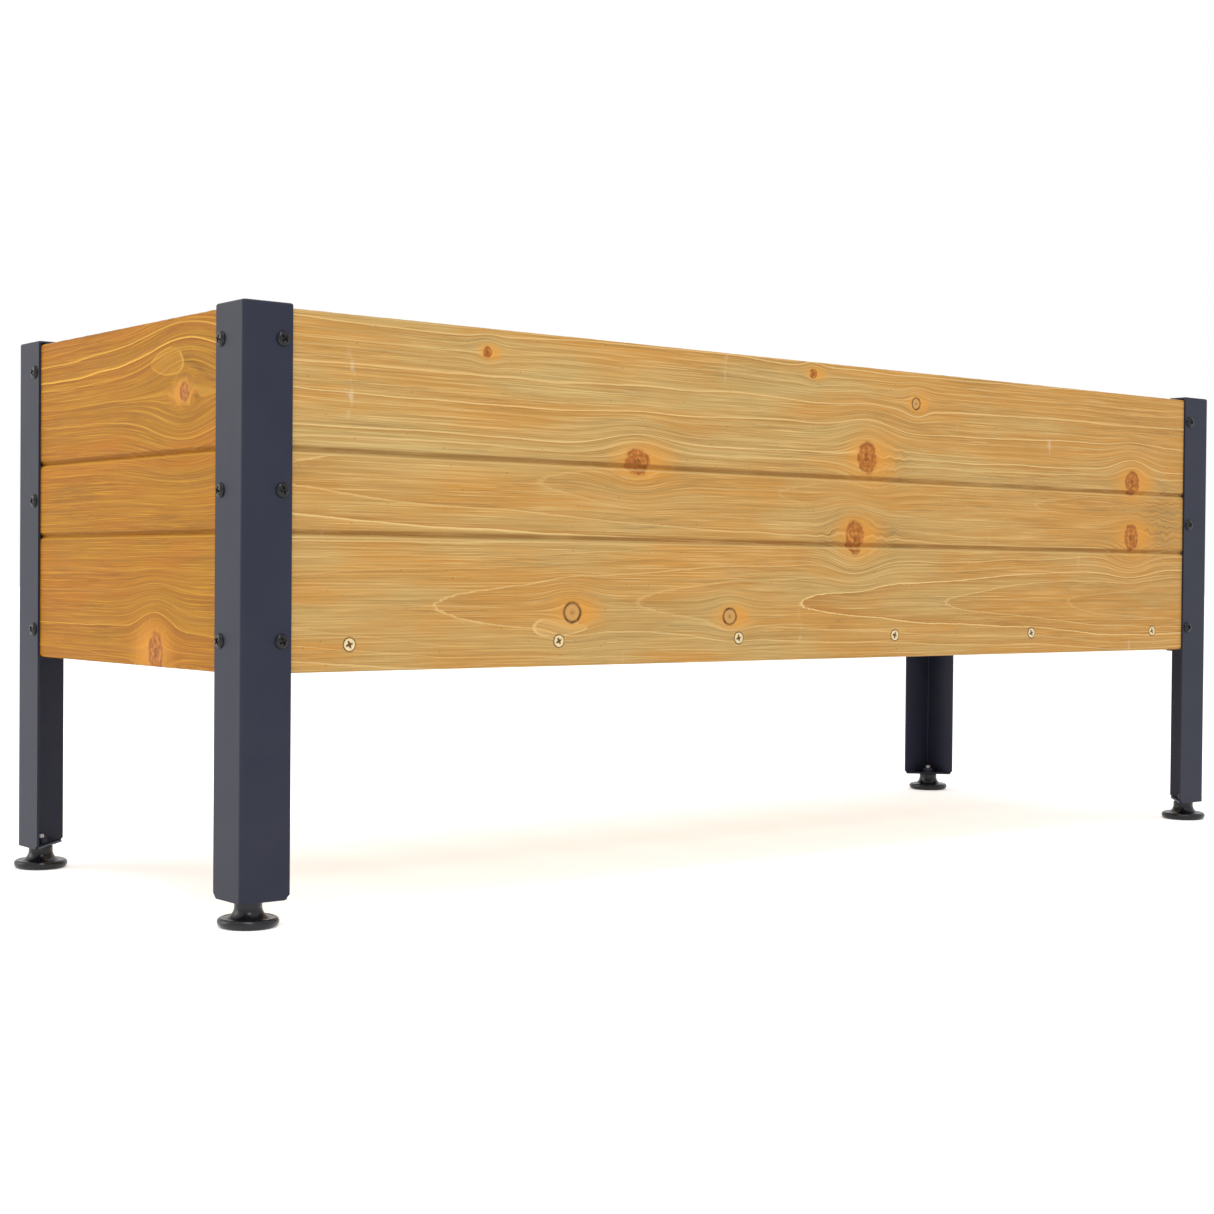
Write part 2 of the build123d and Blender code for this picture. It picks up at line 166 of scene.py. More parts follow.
def wood(name, along, tone, seed, outer, strips, knots=(), figure=(), screws=False, painted_groove_shading=True):
    """Stained softwood: growth rings cut near the pith, fibres, knots, and painted shade with a
    painted highlight along the grooves.

    along is the axis that the grain follows, and outer the distance of the show face from the
    middle. Each strip between grooves has (lower level, level of the pith, depth of the pith,
    taper, ring width, strength of the pale lines, warmth). A knot has (place, level, half length,
    half height, kind), where RINGED is a pale heart in a dark ring and LOOP a pale loop with no
    knot. It may end with how far it parts the grain. Curly figure has (place, level, half length,
    half height, strength)."""
    g = Graph(name)
    x, y, z = g.split(g.place())
    offset = seed * 37.0
    if along == "SLAT":
        place = g.mul(g.add(x, SLAT_PITCH * 5), 1 / SLAT_PITCH)
        number = g.math("FLOOR", place)
        s, depth = y, g.sub(outer, z)
        z = g.mul(g.sub(g.math("FRACT", place), 0.5), SLAT_PITCH)
        z = g.muladd(g.math("SINE", g.mul(number, 5.1)), 60.0, z)
        offset = g.muladd(number, 7.7, offset)
    else:
        s, across = (x, y) if along == "X" else (y, x)
        depth = g.sub(outer, g.math("ABSOLUTE", across))

    def stretched(level, length, height, shift):
        """Noise coordinates drawn out along the grain."""
        along_grain = g.muladd(s, 1 / length, offset)
        return g.vector(along_grain, g.mul(level, 1 / height), g.muladd(depth, 1 / height, shift))

    def streaks(length, height, octaves=2.0, roughness=0.5, shift=0.0, centred=False):
        return g.noise(stretched(z, length, height, shift), 1.0, octaves, roughness, centred)

    def by_strip(column):
        value = strips[0][column]
        for below, above in zip(strips, strips[1:]):
            step = g.math("GREATER_THAN", z, above[0])
            value = g.muladd(step, above[column] - below[column], value)
        return value

    level = g.muladd(streaks(230, 80, 1.0, centred=True), 15.0, z)
    level = g.muladd(streaks(70, 26, 2.0, shift=4.0, centred=True), 3.6, level)
    plain, curls = level, 0.0
    for place, height, half_s, half_z, amount in figure:
        ds, dz = g.mul(g.sub(s, place), 1 / half_s), g.mul(g.sub(z, height), 1 / half_z)
        fall = g.math("EXPONENT", g.mul(g.add(g.mul(ds, ds), g.mul(dz, dz)), -1.0))
        curl = streaks(15, 17, 1.0, shift=61.0, centred=True)
        level = g.muladd(g.mul(curl, fall), amount, level)
        curls = g.add(curls, fall)
    nearest = {LOOP: FAR, RED_HEART: FAR, RINGED: FAR}
    glow = FAR
    parted = level
    for place, height, radius_s, radius_z, kind, *reach in knots:
        reach_s, reach_z = reach or (3.0, 2.3)
        ds, dz = g.sub(s, place), g.sub(z, height)
        if kind != LOOP:
            es = g.math("POWER", g.math("ABSOLUTE", g.mul(ds, 1 / (radius_s * reach_s))), 2.0)
            ez = g.math("POWER", g.math("ABSOLUTE", g.mul(dz, 1 / (radius_z * reach_z))), 2.0)
            fall = g.math("EXPONENT", g.mul(g.add(es, ez), -1.0))
            parted = g.sub(parted, g.mul(g.mul(dz, fall), 0.92))
        rs, rz = g.mul(ds, 1 / radius_s), g.mul(dz, 1 / radius_z)
        if kind == LOOP:
            rz = g.math("DIVIDE", rz, g.muladd(rs, -0.42, 1.0))
        rho = g.math("SQRT", g.add(g.mul(rs, rs), g.mul(rz, rz)))
        nearest[kind] = g.math("MINIMUM", nearest[kind], rho)
        if kind == LOOP:
            continue
        rs = g.mul(g.sub(ds, radius_s * 0.6), 0.55 / radius_s)
        rho = g.math("SQRT", g.add(g.mul(rs, rs), g.mul(rz, rz)))
        glow = g.math("MINIMUM", glow, rho)
    bent = g.add(z, g.sub(parted, plain))

    def lines(length, height, octaves, roughness, shift):
        """Streaks that part round the knots."""
        return g.noise(stretched(bent, length, height, shift), 1.0, octaves, roughness)

    # growth rings: distance from a pith that tapers along the board
    from_pith = g.sub(parted, by_strip(PITH_LEVEL))
    deep = g.sub(g.add(depth, by_strip(PITH_DEPTH)), g.mul(s, by_strip(TAPER)))
    pith_distance = g.math("SQRT", g.add(g.mul(from_pith, from_pith), g.mul(deep, deep)))
    jitter = streaks(7, 1.6, 2.0, shift=9.0, centred=True)
    radius = g.muladd(jitter, 0.45, pith_distance)
    uneven = g.noise(g.vector(g.mul(radius, 1 / 20), offset, 0.0), 1.0, 2.0, centred=True)
    ring = by_strip(RING)
    turns = g.add(g.math("DIVIDE", radius, ring), g.mul(uneven, 2.2))
    phase = g.math("FRACT", turns)
    ring_noise = {"W": g.add(g.math("FLOOR", g.add(turns, 0.5)), offset)}
    strength = g.node("ShaderNodeTexWhiteNoise", ring_noise, noise_dimensions="1D").outputs[0]
    bold = g.mul(g.math("POWER", strength, 1.7), by_strip(LINES))

    # a pale line keeps its width where the rings lie flat to the face
    slope = g.add(g.mul(from_pith, from_pith), g.mul(g.mul(deep, deep), 0.016))
    millimetres = g.math("DIVIDE", g.mul(ring, pith_distance), g.math("SQRT", slope))
    line = g.between(g.mul(phase, millimetres), 0.35, 1.35, 1.0, 0.0)
    before = g.between(g.mul(g.sub(1.0, phase), millimetres), 0.1, 0.4, 1.0, 0.0)
    line = g.math("MAXIMUM", line, before)
    late_wood = ((0.0, 0.15), (0.12, 0.04), (0.45, 0.2), (0.78, 0.55), (0.96, 1.0), (0.99, 0.8))
    shade = g.ramp(phase, *late_wood)

    fibre = lines(85, 0.80, 2.0, 0.6, 11.0)
    fine = lines(34, 0.32, 2.0, 0.6, 17.0)
    strand = lines(170, 1.5, 3.0, 0.7, 31.0)
    grit = streaks(1.5, 0.45, 1.0, 0.5, 23.0)
    bands = lines(300, 3.6, 4.0, 0.7, 29.0)
    clouds = lines(210, 46, 3.0, 0.55, 35.0)
    ashy = lines(130, 20, 2.0, 0.5, 47.0)

    pale, honey, amber, dark = tone
    warm = g.muladd(by_strip(WARMTH), 0.3, g.between(clouds, 0.36, 0.68))
    if knots:
        warm = g.add(warm, g.between(g.add(z, g.mul(s, 0.06)), 418.0, 446.0, 0.0, 0.9))
        warm = g.muladd(g.between(s, 60.0, 520.0), 0.55, warm)
    warm = g.math("MINIMUM", warm, 1.0)
    colour = g.mix(warm, honey, amber)
    colour = g.mix(g.mul(g.between(bands, 0.42, 0.72), 0.55), colour, dark)
    colour = g.mix(g.mul(shade, g.muladd(bold, 0.80, 0.16)), colour, amber_of(dark))
    colour = g.mix(g.between(fibre, 0.52, 0.74, 0.0, 0.55), colour, pale)
    colour = g.mix(g.between(fibre, 0.28, 0.46, 0.50, 0.0), colour, dark)
    colour = g.mix(g.between(strand, 0.50, 0.68, 0.0, 0.30), colour, pale)
    colour = g.mix(g.between(strand, 0.32, 0.48, 0.42, 0.0), colour, dark)
    grey = g.between(ashy, 0.46, 0.64, 0.14, 0.62)
    if figure:
        grey = g.math("MINIMUM", g.muladd(curls, 0.6, grey), 0.85)
        waves = g.between(g.math("PINGPONG", g.mul(bent, 0.19), 0.5), 0.26, 0.46)
        waves = g.mul(waves, g.between(fibre, 0.35, 0.6, 0.4, 1.0))
        colour = g.mix(g.mul(waves, g.mul(curls, 0.62)), colour, ashen(dark))
    ashes = g.mul(g.between(fine, 0.50, 0.68), grey)
    colour = g.mix(ashes, colour, ashen(dark))
    colour = g.mix(g.mul(line, g.muladd(bold, 0.85, 0.13)), colour, pale)

    # knots
    bark = g.vector(g.mul(s, 1 / BURR_SIZE), g.mul(z, 1 / BURR_SIZE), offset)
    burr = g.noise(bark, 1.0, 4.0, 0.6, centred=True)
    if knots:
        halo = g.between(g.muladd(burr, 1.2, glow), 0.4, 2.3, 0.70, 0.0)
        colour = g.mix(halo, colour, KNOT_HALO)
    for kind, rho in nearest.items():
        if not isinstance(rho, bpy.types.NodeSocket):
            continue
        if kind == LOOP:
            rho = g.muladd(streaks(34, 24, 1.0, shift=67.0, centred=True), 0.4, rho)
            colour = g.mix(g.between(rho, 0.92, 1.0, 0.16, 0.0), colour, pale)
            ridge = g.mul(g.between(rho, 0.86, 0.95), g.between(rho, 0.97, 1.04, 1.0, 0.0))
            gaps = g.between(streaks(26, 14, 1.0, shift=71.0), 0.34, 0.52, 0.06, 0.50)
            colour = g.mix(g.mul(ridge, gaps), colour, pale)
            continue
        rho = g.muladd(burr, (0.42, 0.22)[kind], rho)
        rings = g.math("PINGPONG", g.mul(rho, (2.6, 3.6)[kind]), 0.5)
        rings = g.between(rings, 0.1, 0.45, 0.0, 0.38)
        heart = (KNOT_RED, KNOT_PALE)[kind]
        body = g.mix(rings, heart, tuple(c * 0.55 for c in heart))
        body = g.mix(g.between(burr, -0.08, 0.18, 0.0, 0.75), body, KNOT_LIGHT)
        crooked = g.math("PINGPONG", g.mul(z, 0.05), 1.0)
        crack = g.math("ABSOLUTE", g.add(g.mul(s, 0.16), g.mul(burr, 3.0), crooked))
        crack = g.mul(g.between(rho, 0.10, 0.42, 0.85, 0.0), g.between(crack, 0.1, 0.9, 1.0, 0.4))
        body = g.mix(crack, body, KNOT_DARK)
        colour = g.mix(g.between(rho, 0.86, 1.08, 1.0, 0.0), colour, body)
        rim = g.mul(g.between(rho, 0.74, 0.92), g.between(rho, 0.98, 1.22, 1.0, 0.0))
        faint, full = ((0.05, 0.62), (0.70, 0.95))[kind]
        broken = g.between(streaks(9, 9, 1.0, shift=53.0), 0.40, 0.56, faint, full)
        colour = g.mix(g.mul(rim, broken), colour, (KNOT_RIM, KNOT_DARK)[kind])

    specks = {"Vector": g.vector(s, z, depth), "Scale": 1 / 11}
    speck = g.node("ShaderNodeTexVoronoi", specks).outputs["Distance"]
    colour = g.mix(g.between(speck, 0.03, 0.065, 0.6, 0.0), colour, KNOT_DARK)
    chalk = g.noise(g.vector(g.muladd(s, 1 / 17, offset), g.mul(z, 1 / 120), 0.0), 1.0, 1.0)
    chalk = g.mul(g.between(chalk, 0.70, 0.80), g.between(streaks(6, 14), 0.45, 0.7, 0.0, 0.45))
    colour = g.mix(chalk, colour, CHALK)

    # painted shade on the upper face of each V groove, laid over the real groove
    if painted_groove_shading:
        above = g.sub(z, GROOVE_MIDDLE)
        above = g.sub(above, g.mul(g.math("SIGN", above), GROOVE_SPREAD))
        painted_shade = g.mul(g.between(above, -0.9, 0.2), g.between(above, 1.8, 3.6, 1.0, 0.0))
        painted_shade = g.mul(painted_shade, g.between(depth, -1.0, 6.0, 1.0, 0.0))
        painted_shade = g.mul(painted_shade, g.between(streaks(60, 30, shift=41.0), 0.3, 0.6, 0.5, 0.9))
        colour = g.mix(painted_shade, colour, GROOVE_PAINTED_SHADE)
        # painted highlight on the lower face of each V groove
        lit = g.mul(g.between(above, -3.6, -2.8), g.between(above, -1.8, -0.9, 1.0, 0.0))
        colour = g.mix(g.mul(lit, g.between(depth, -1.0, 6.0, 0.5, 0.0)), colour, pale)
    # a dark ring round each batten screw: crushed fibres, and painted shade of the crater round the
    # head
    if screws:
        folded = g.math("PINGPONG", s, SCREW_PITCH)
        nearest_screw = g.math("ABSOLUTE", g.sub(folded, SCREW_PITCH / 2))
        up = g.sub(z, SCREW_LEVEL)
        away = g.math("SQRT", g.add(g.mul(nearest_screw, nearest_screw), g.mul(up, up)))
        colour = g.mix(g.between(away, 4.6, 6.4, 0.75, 0.0), colour, KNOT_DARK)

    height = g.add(g.mul(line, 0.5), g.mul(fibre, 0.9), g.mul(fine, 0.5), g.mul(grit, 0.3))
    g.surface(
        Base_Color=colour,
        Roughness=g.between(fibre, 0.3, 0.7, 0.48, 0.64),
        Normal=g.bump(height, 0.5, 0.0005),
        Specular_IOR_Level=0.12,
    )
    return g.material


def amber_of(colour):
    """The redder tone of late wood."""
    return (colour[0] * 1.18, colour[1] * 0.90, colour[2] * 0.6)


def ashen(colour):
    """The grey-brown tone of weathered fibres."""
    return (colour[0] * 0.50, colour[1] * 0.62, colour[2] * 0.90)


KNOT_RED = (0.33, 0.105, 0.019)
KNOT_PALE = (0.47, 0.27, 0.09)
KNOT_LIGHT = (0.55, 0.240, 0.045)
KNOT_RIM = (0.20, 0.055, 0.012)
KNOT_DARK = (0.070, 0.024, 0.009)
KNOT_HALO = (0.58, 0.245, 0.032)
# colour of the painted shade in the grooves
GROOVE_PAINTED_SHADE = (0.17, 0.065, 0.011)
CHALK = (0.62, 0.55, 0.42)
BURR_SIZE = 4.2
GROOVE_MIDDLE = 312.0
GROOVE_SPREAD = 30.0
SCREW_PITCH = 194.0
SCREW_LEVEL = 201.0
SCREW_PLACES = [(i - 2.5) * SCREW_PITCH for i in range(6)]
# show faces: of the long and end panels and the battens from the middle, of the floor by level
LONG_FACE, END_FACE, BATTEN_FACE, FLOOR_FACE = 193, 573, 175, 231

# a tone is the colour of pale, honey, amber and dark wood
FRONT_TONE = (
    (0.68, 0.475, 0.200), (0.435, 0.300, 0.112), (0.465, 0.228, 0.050), (0.290, 0.168, 0.047)
)
END_TONE = (
    (0.60, 0.32, 0.040), (0.335, 0.155, 0.008), (0.365, 0.130, 0.005), (0.215, 0.084, 0.004)
)
BACK_TONE = ((0.70, 0.48, 0.18), (0.49, 0.30, 0.08), (0.53, 0.27, 0.055), (0.35, 0.19, 0.045))
FLOOR_TONE = ((0.72, 0.58, 0.38), (0.58, 0.42, 0.23), (0.56, 0.38, 0.18), (0.40, 0.26, 0.12))

FRONT_STRIPS = [
    (0, 231.0, 37.8, 0.032, 6.4, 1.0, 0.5),
    (282, 326.0, 26.0, 0.030, 8.7, 0.8, 0.9),
    (342, 250.0, 60.0, 0.010, 6.0, 0.75, 0.0),
]
FRONT_KNOTS = [
    (-363, 424.3, 4.2, 4.2, RED_HEART),
    (-11, 432.3, 4.5, 4.0, RED_HEART),
    (122, 414.0, 5.5, 5.5, RINGED),
    (58, 361.5, 12.0, 13.5, RED_HEART),
    (-212, 346.5, 12.5, 10.5, RED_HEART),
    (448, 352.0, 11.0, 12.0, RED_HEART),
    (43, 289.5, 11.0, 14.0, RED_HEART),
    (447, 297.0, 11.0, 13.0, RED_HEART),
    (-290, 211.5, 27.0, 7.0, LOOP),
    (-278, 223.6, 8.5, 8.0, RINGED),
    (-108, 219.4, 7.5, 7.0, RINGED),
]
FRONT_FIGURE = [
    (495, 314, 42, 30, 20.0),
    (92, 356, 26, 18, 12.0),
    (78, 292, 26, 16, 10.0),
    (10, 292, 22, 12, 8.0),
]
LEFT_STRIPS = [
    (0, 150.0, 60.0, 0.02, 12.0, 0.7, 0.6),
    (282, 200.0, 60.0, 0.02, 11.0, 0.35, 1.0),
    (342, 270.0, 50.0, 0.02, 9.5, 1.5, 0.2),
]
LEFT_KNOTS = [
    (-102.7, 386.2, 7.0, 7.0, RED_HEART, 9.5, 6.5),
    (-58.0, 192.0, 11.0, 15.0, RED_HEART),
    (-74.0, 410.5, 28.0, 10.5, LOOP),
]
LEFT_FIGURE = [(-102, 386, 22, 16, 9.0)]
REAR_STRIPS = [
    (0, 160.0, 50.0, 0.02, 7.0, 0.9, 0.4),
    (282, 316.0, 34.0, -0.03, 7.0, 0.9, 0.8),
    (342, 394.0, 36.0, 0.028, 6.6, 0.9, 0.2),
]
REAR_KNOTS = [
    (-420, 395, 9, 10, RED_HEART),
    (-250, 230, 11, 12, RED_HEART),
    (-60, 410, 5, 5, RINGED),
    (90, 336, 12, 11, RED_HEART),
    (300, 255, 8, 8, RINGED),
    (455, 402, 11, 12, RED_HEART),
]
REAR_FIGURE = [(-385, 392, 30, 22, 14.0), (120, 340, 28, 18, 12.0)]
RIGHT_STRIPS = [
    (0, 236.0, 30.0, -0.03, 6.5, 0.9, 0.6),
    (282, 260.0, 60.0, 0.02, 8.0, 0.4, 0.8),
    (342, 470.0, 50.0, 0.02, 8.5, 0.7, 0.4),
]
RIGHT_KNOTS = [(80, 250, 11, 12, RED_HEART), (-60, 405, 7, 7, RINGED)]
BATTEN_STRIPS = [(0, 150.0, 20.0, 0.01, 5.0, 0.6, 0.3)]
SLAT_STRIPS = [(-999, 0.0, 25.0, 0.04, 5.5, 0.8, 0.3)]
SLAT_PITCH = 110.0

WOODS = {
    "panel_front": wood(
        "wood_front", "X", FRONT_TONE, 1, LONG_FACE, FRONT_STRIPS, FRONT_KNOTS, FRONT_FIGURE, True
    ),
    "panel_rear": wood(
        "wood_rear", "X", BACK_TONE, 2, LONG_FACE, REAR_STRIPS, REAR_KNOTS, REAR_FIGURE, True
    ),
    "panel_left": wood(
        "wood_left", "Y", END_TONE, 3, END_FACE, LEFT_STRIPS, LEFT_KNOTS, LEFT_FIGURE
    ),
    "panel_right": wood("wood_right", "Y", END_TONE, 4, END_FACE, RIGHT_STRIPS, RIGHT_KNOTS),
    "batten": wood("wood_batten", "X", FLOOR_TONE, 5, BATTEN_FACE, BATTEN_STRIPS, painted_groove_shading=False),
    "slat": wood("wood_slat", "SLAT", FLOOR_TONE, 6, FLOOR_FACE, SLAT_STRIPS, painted_groove_shading=False),
}


# ---------------------------------------------------------------- metal and plastic


def powder_coat():
    """Satin black-blue powder coat with a fine orange-peel grain."""
    g = Graph("powder_coat")
    place = g.place()
    grain = g.noise(place, 2.2, 2.0, 0.6)
    peel = g.noise(place, 0.45, 2.0)
    wear = g.noise(place, 0.02, 3.0)
    colour = g.mix(g.between(wear, 0.3, 0.7), (0.0105, 0.013, 0.029), (0.014, 0.016, 0.032))
    colour = g.mix(g.mul(g.between(grain, 0.55, 0.75), 0.35), colour, (0.035, 0.038, 0.055))
    height = g.add(g.mul(grain, 0.5), peel)
    g.surface(
        Base_Color=colour,
        Roughness=g.between(grain, 0.3, 0.7, 0.42, 0.54),
        Normal=g.bump(height, 0.25, 0.00025),
        Specular_IOR_Level=0.26,
    )
    return g.material


def black_oxide():
    """Black screw finish."""
    g = Graph("black_screw")
    grain = g.noise(g.place(), 3.0, 3.0)
    g.surface(
        Base_Color=g.mix(grain, (0.005, 0.005, 0.006), (0.013, 0.013, 0.015)),
        Roughness=g.between(grain, 0.3, 0.7, 0.11, 0.20),
        Normal=g.bump(grain, 0.12, 0.0002),
        Specular_IOR_Level=0.27,
    )
    return g.material


def plated(name, light, deep):
    """Zinc plating with a slight colour drift."""
    g = Graph(name)
    place = g.place()
    drift = g.noise(place, 0.35, 3.0)
    fine = g.noise(place, 4.0, 2.0)
    g.surface(
        Base_Color=g.mix(g.between(drift, 0.35, 0.65), light, deep),
        Metallic=0.9,
        Roughness=g.between(fine, 0.3, 0.7, 0.26, 0.42),
        Normal=g.bump(fine, 0.2, 0.0001),
    )
    return g.material


def moulded_plastic():
    """Satin black nylon."""
    g = Graph("foot_plastic")
    place = g.place()
    fine = g.noise(place, 3.0, 2.0)
    broad = g.noise(place, 0.08, 2.0)
    g.surface(
        Base_Color=g.mix(broad, (0.005, 0.005, 0.007), (0.008, 0.008, 0.011)),
        Roughness=g.between(broad, 0.3, 0.7, 0.22, 0.30),
        Normal=g.bump(fine, 0.06, 0.0002),
        Specular_IOR_Level=0.36,
    )
    return g.material


COAT, SCREW = powder_coat(), black_oxide()
YELLOW_ZINC = plated("yellow_zinc", (0.72, 0.58, 0.30), (0.62, 0.52, 0.36))
ZINC = plated("zinc", (0.72, 0.73, 0.74), (0.62, 0.63, 0.65))
PLASTIC = moulded_plastic()

CORNERS = {
    "front_left": (-1, -1),
    "front_right": (1, -1),
    "rear_left": (-1, 1),
    "rear_right": (1, 1),
}


# ---------------------------------------------------------------- mesh helpers


def piece(name, bm, material, body, slot, *nodes, crease=35.0):
    """Turn a bmesh in millimetres into a piece that stands for CAD nodes."""
    bmesh.ops.remove_doubles(bm, verts=bm.verts, dist=1e-4)
    bmesh.ops.recalc_face_normals(bm, faces=bm.faces)
    bmesh.ops.scale(bm, vec=(MM, MM, MM), verts=bm.verts)
    mesh = bpy.data.meshes.new(name)
    bm.to_mesh(mesh)
    bm.free()
    mesh.polygons.foreach_set("use_smooth", [True] * len(mesh.polygons))
    mesh.set_sharp_from_angle(angle=math.radians(crease))
    mesh.materials.append(material)
    made = bpy.data.objects.new(name, mesh)
    bpy.context.collection.objects.link(made)
    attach(made, body)
    if nodes:
        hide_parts(*nodes)


def skin(bm, rings):
    """Join rings of equally many points into one tube, open at both ends."""
    rows = [[bm.verts.new(point) for point in ring] for ring in rings]
    count = len(rows[0])
    for low, high in zip(rows, rows[1:]):
        for i in range(count):
            j = (i + 1) % count
            bm.faces.new((low[i], low[j], high[j], high[i]))
    return rows


def lathe(bm, profile, steps):
    """Turn a closed (radius, height) outline about the Z axis."""
    rings = []
    for i in range(steps + 1):
        angle = math.tau * i / steps
        rings.append([(r * math.cos(angle), r * math.sin(angle), z) for r, z in profile])
    skin(bm, rings)
    bmesh.ops.remove_doubles(bm, verts=bm.verts, dist=1e-4)
    bmesh.ops.dissolve_degenerate(bm, dist=1e-5, edges=bm.edges)


def eased(points, steps=4):
    """A smooth line through points: a Catmull-Rom curve."""
    line = []
    for i in range(len(points) - 1):
        p0, p1 = points[max(i - 1, 0)], points[i]
        p2, p3 = points[i + 1], points[min(i + 2, len(points) - 1)]
        for k in range(steps):
            u = k / steps
            weights = (
                -0.5 * u + u * u - 0.5 * u**3,
                1 - 2.5 * u * u + 1.5 * u**3,
                0.5 * u + 2 * u * u - 1.5 * u**3,
                -0.5 * u * u + 0.5 * u**3,
            )
            near = (p0, p1, p2, p3)
            line.append(tuple(sum(w * p[a] for w, p in zip(weights, near)) for a in (0, 1)))
    return line + [points[-1]]


def carve(bm, cutter):
    """Cut one closed bmesh out of another."""
    objects = []
    for part in (bm, cutter):
        bmesh.ops.recalc_face_normals(part, faces=part.faces)
        mesh = bpy.data.meshes.new("carving")
        part.to_mesh(mesh)
        part.free()
        made = bpy.data.objects.new("carving", mesh)
        bpy.context.collection.objects.link(made)
        objects.append(made)
    modifier = objects[0].modifiers.new("cut", "BOOLEAN")
    modifier.operation, modifier.solver, modifier.object = "DIFFERENCE", "EXACT", objects[1]
    shape = objects[0].evaluated_get(bpy.context.evaluated_depsgraph_get()).to_mesh()
    result = bmesh.new()
    result.from_mesh(shape)
    for made in objects:
        bpy.data.objects.remove(made)
    return result


def copies(template, places):
    """Copies of a bmesh at places, each a 4x4 matrix in millimetres."""
    mesh = bpy.data.meshes.new("template")
    template.to_mesh(mesh)
    template.free()
    result = bmesh.new()
    for place in places:
        start = len(result.verts)
        result.from_mesh(mesh)
        result.verts.ensure_lookup_table()
        bmesh.ops.transform(result, matrix=place, verts=result.verts[start:])
    bpy.data.meshes.remove(mesh)
    return result


def facing(origin, out, spin):
    """A place at origin whose Z axis points out, turned by spin about it."""
    turn = Vector(out).to_track_quat("Z", "Y").to_matrix().to_4x4()
    return Matrix.Translation(origin) @ turn @ Matrix.Rotation(spin, 4, "Z")


def wave(*place):
    """Smooth noise, about -1 to 1."""
    return noise.noise(Vector(place))


# ---------------------------------------------------------------- boards


# distances from a countersunk screw at which the mesh of a board is divided
SEAT_SIDE = [1.5, 3.0, 3.9, 4.5, 5.0, 5.6, 6.2, 6.9, 8]
SEAT_STEPS = [-step for step in reversed(SEAT_SIDE)] + [0] + SEAT_SIDE
SEAT_REACH = 8.0
PANEL_ARRIS, BATTEN_ARRIS = 3.0, 1.2
# one side of a V groove, with its softened shoulder, as (depth, distance from the middle)
GROOVE_SIDE = ((0, -4.3), (0.05, -3.7), (0.30, -3.1), (0.85, -2.45), (2.75, -0.5), (3.15, 0))


def board_outline(depth, bottom, top, arris, grooves=(), seat_level=None):
    """The section of a board as (depth behind the show face, level) points, going round."""
    show, step = [], 7.0
    if seat_level:
        show += [(0, seat_level + h) for h in SEAT_STEPS]
    for side in grooves:
        show += [(d, side + h) for d, h in GROOVE_SIDE]
        show += [(d, side - h) for d, h in reversed(GROOVE_SIDE[:-1])]
    start, face = bottom + arris, []
    for point in show + [(0, top - arris)]:
        gap = point[1] - start
        if gap > step:
            count = int(gap / step)
            face += [(0, start + gap * i / count) for i in range(1 if face else 0, count)]
        face.append(point)
        start = point[1]
    if not face or face[0][1] > bottom + arris:
        face.insert(0, (0, bottom + arris))

    def bend(angle):
        """How far a rounded arris stands in from the two faces that it joins."""
        return arris * (1 - math.cos(angle)), arris * (1 - math.sin(angle))

    bends = [math.pi / 2 * i / 5 for i in range(1, 6)]
    line = face
    line += [(near, top - far) for near, far in map(bend, bends)]
    line += [(depth - far, top - near) for near, far in map(bend, [0.0] + bends)]
    span = top - bottom - 2 * arris
    back = int(span / (4 * step))
    line += [(depth, top - arris - span * i / (back + 1)) for i in range(1, back + 2)]
    line += [(depth - near, bottom + far) for near, far in map(bend, bends)]
    line += [(far, bottom + near) for near, far in map(bend, [0.0] + bends[:-1])]
    return line


def board(bm, outline, start, end, place, seed, pitch=4.0, seats=()):
    """A sawn and planed board along an outline, with worn arrises and a slightly uneven face.

    place(s, depth, level) gives the point in the row frame. Each seat is the (place, level) of a
    countersunk screw, which sits in a crater with crushed edges."""
    middle_d = sum(p[0] for p in outline) / len(outline)
    middle_z = (max(p[1] for p in outline) + min(p[1] for p in outline)) / 2
    ends = [(0.0, 0.9), (0.25, 0.35), (0.9, 0.0)]
    count = max(2, int((end - start) / pitch))
    inner = [start + 2.0 + (end - start - 4.0) * i / count for i in range(count + 1)]
    around = [seat[0] + step for seat in seats for step in SEAT_STEPS]
    clear = SEAT_REACH + 1.0
    inner = [s for s in inner if all(abs(s - seat[0]) > clear for seat in seats)]
    stations = [(start + a, inset) for a, inset in ends]
    stations += [(s, 0.0) for s in sorted(inner + around)]
    stations += [(end - a, inset) for a, inset in reversed(ends)]
    rings = []
    for s, inset in stations:
        ring = []
        for d, level in outline:
            dip = 0.10 + 0.10 * wave(s / 45, level / 14, seed)
            dip += 0.05 * wave(s / 9, level / 2.2, seed + 9)
            dip = max(dip, 0.0)
            for seat_s, seat_level in seats:
                away = math.hypot(s - seat_s, level - seat_level)
                if d < 0.01 and away < SEAT_REACH:
                    ragged = away + 0.5 * wave(s / 2.5, level / 2.5, seed + 5)
                    crater = 0.55 * min(1.0, max(0.0, (6.6 - ragged) / 1.6))
                    dip += crater + (0.8 if away < 4.4 else 0.0)
            inwards = 1 if d < middle_d else -1
            chip = 0.22 * wave(s / 6, level / 3, seed + 20) if 0.04 < d < 3.0 else 0.0
            towards = (middle_z > level) - (middle_z < level)
            ring.append(place(s, d + inwards * (dip + inset), level + chip + towards * inset))
        rings.append(ring)
    rows = skin(bm, rings)
    bm.faces.new(rows[0])
    bm.faces.new(list(reversed(rows[-1])))
    return bm


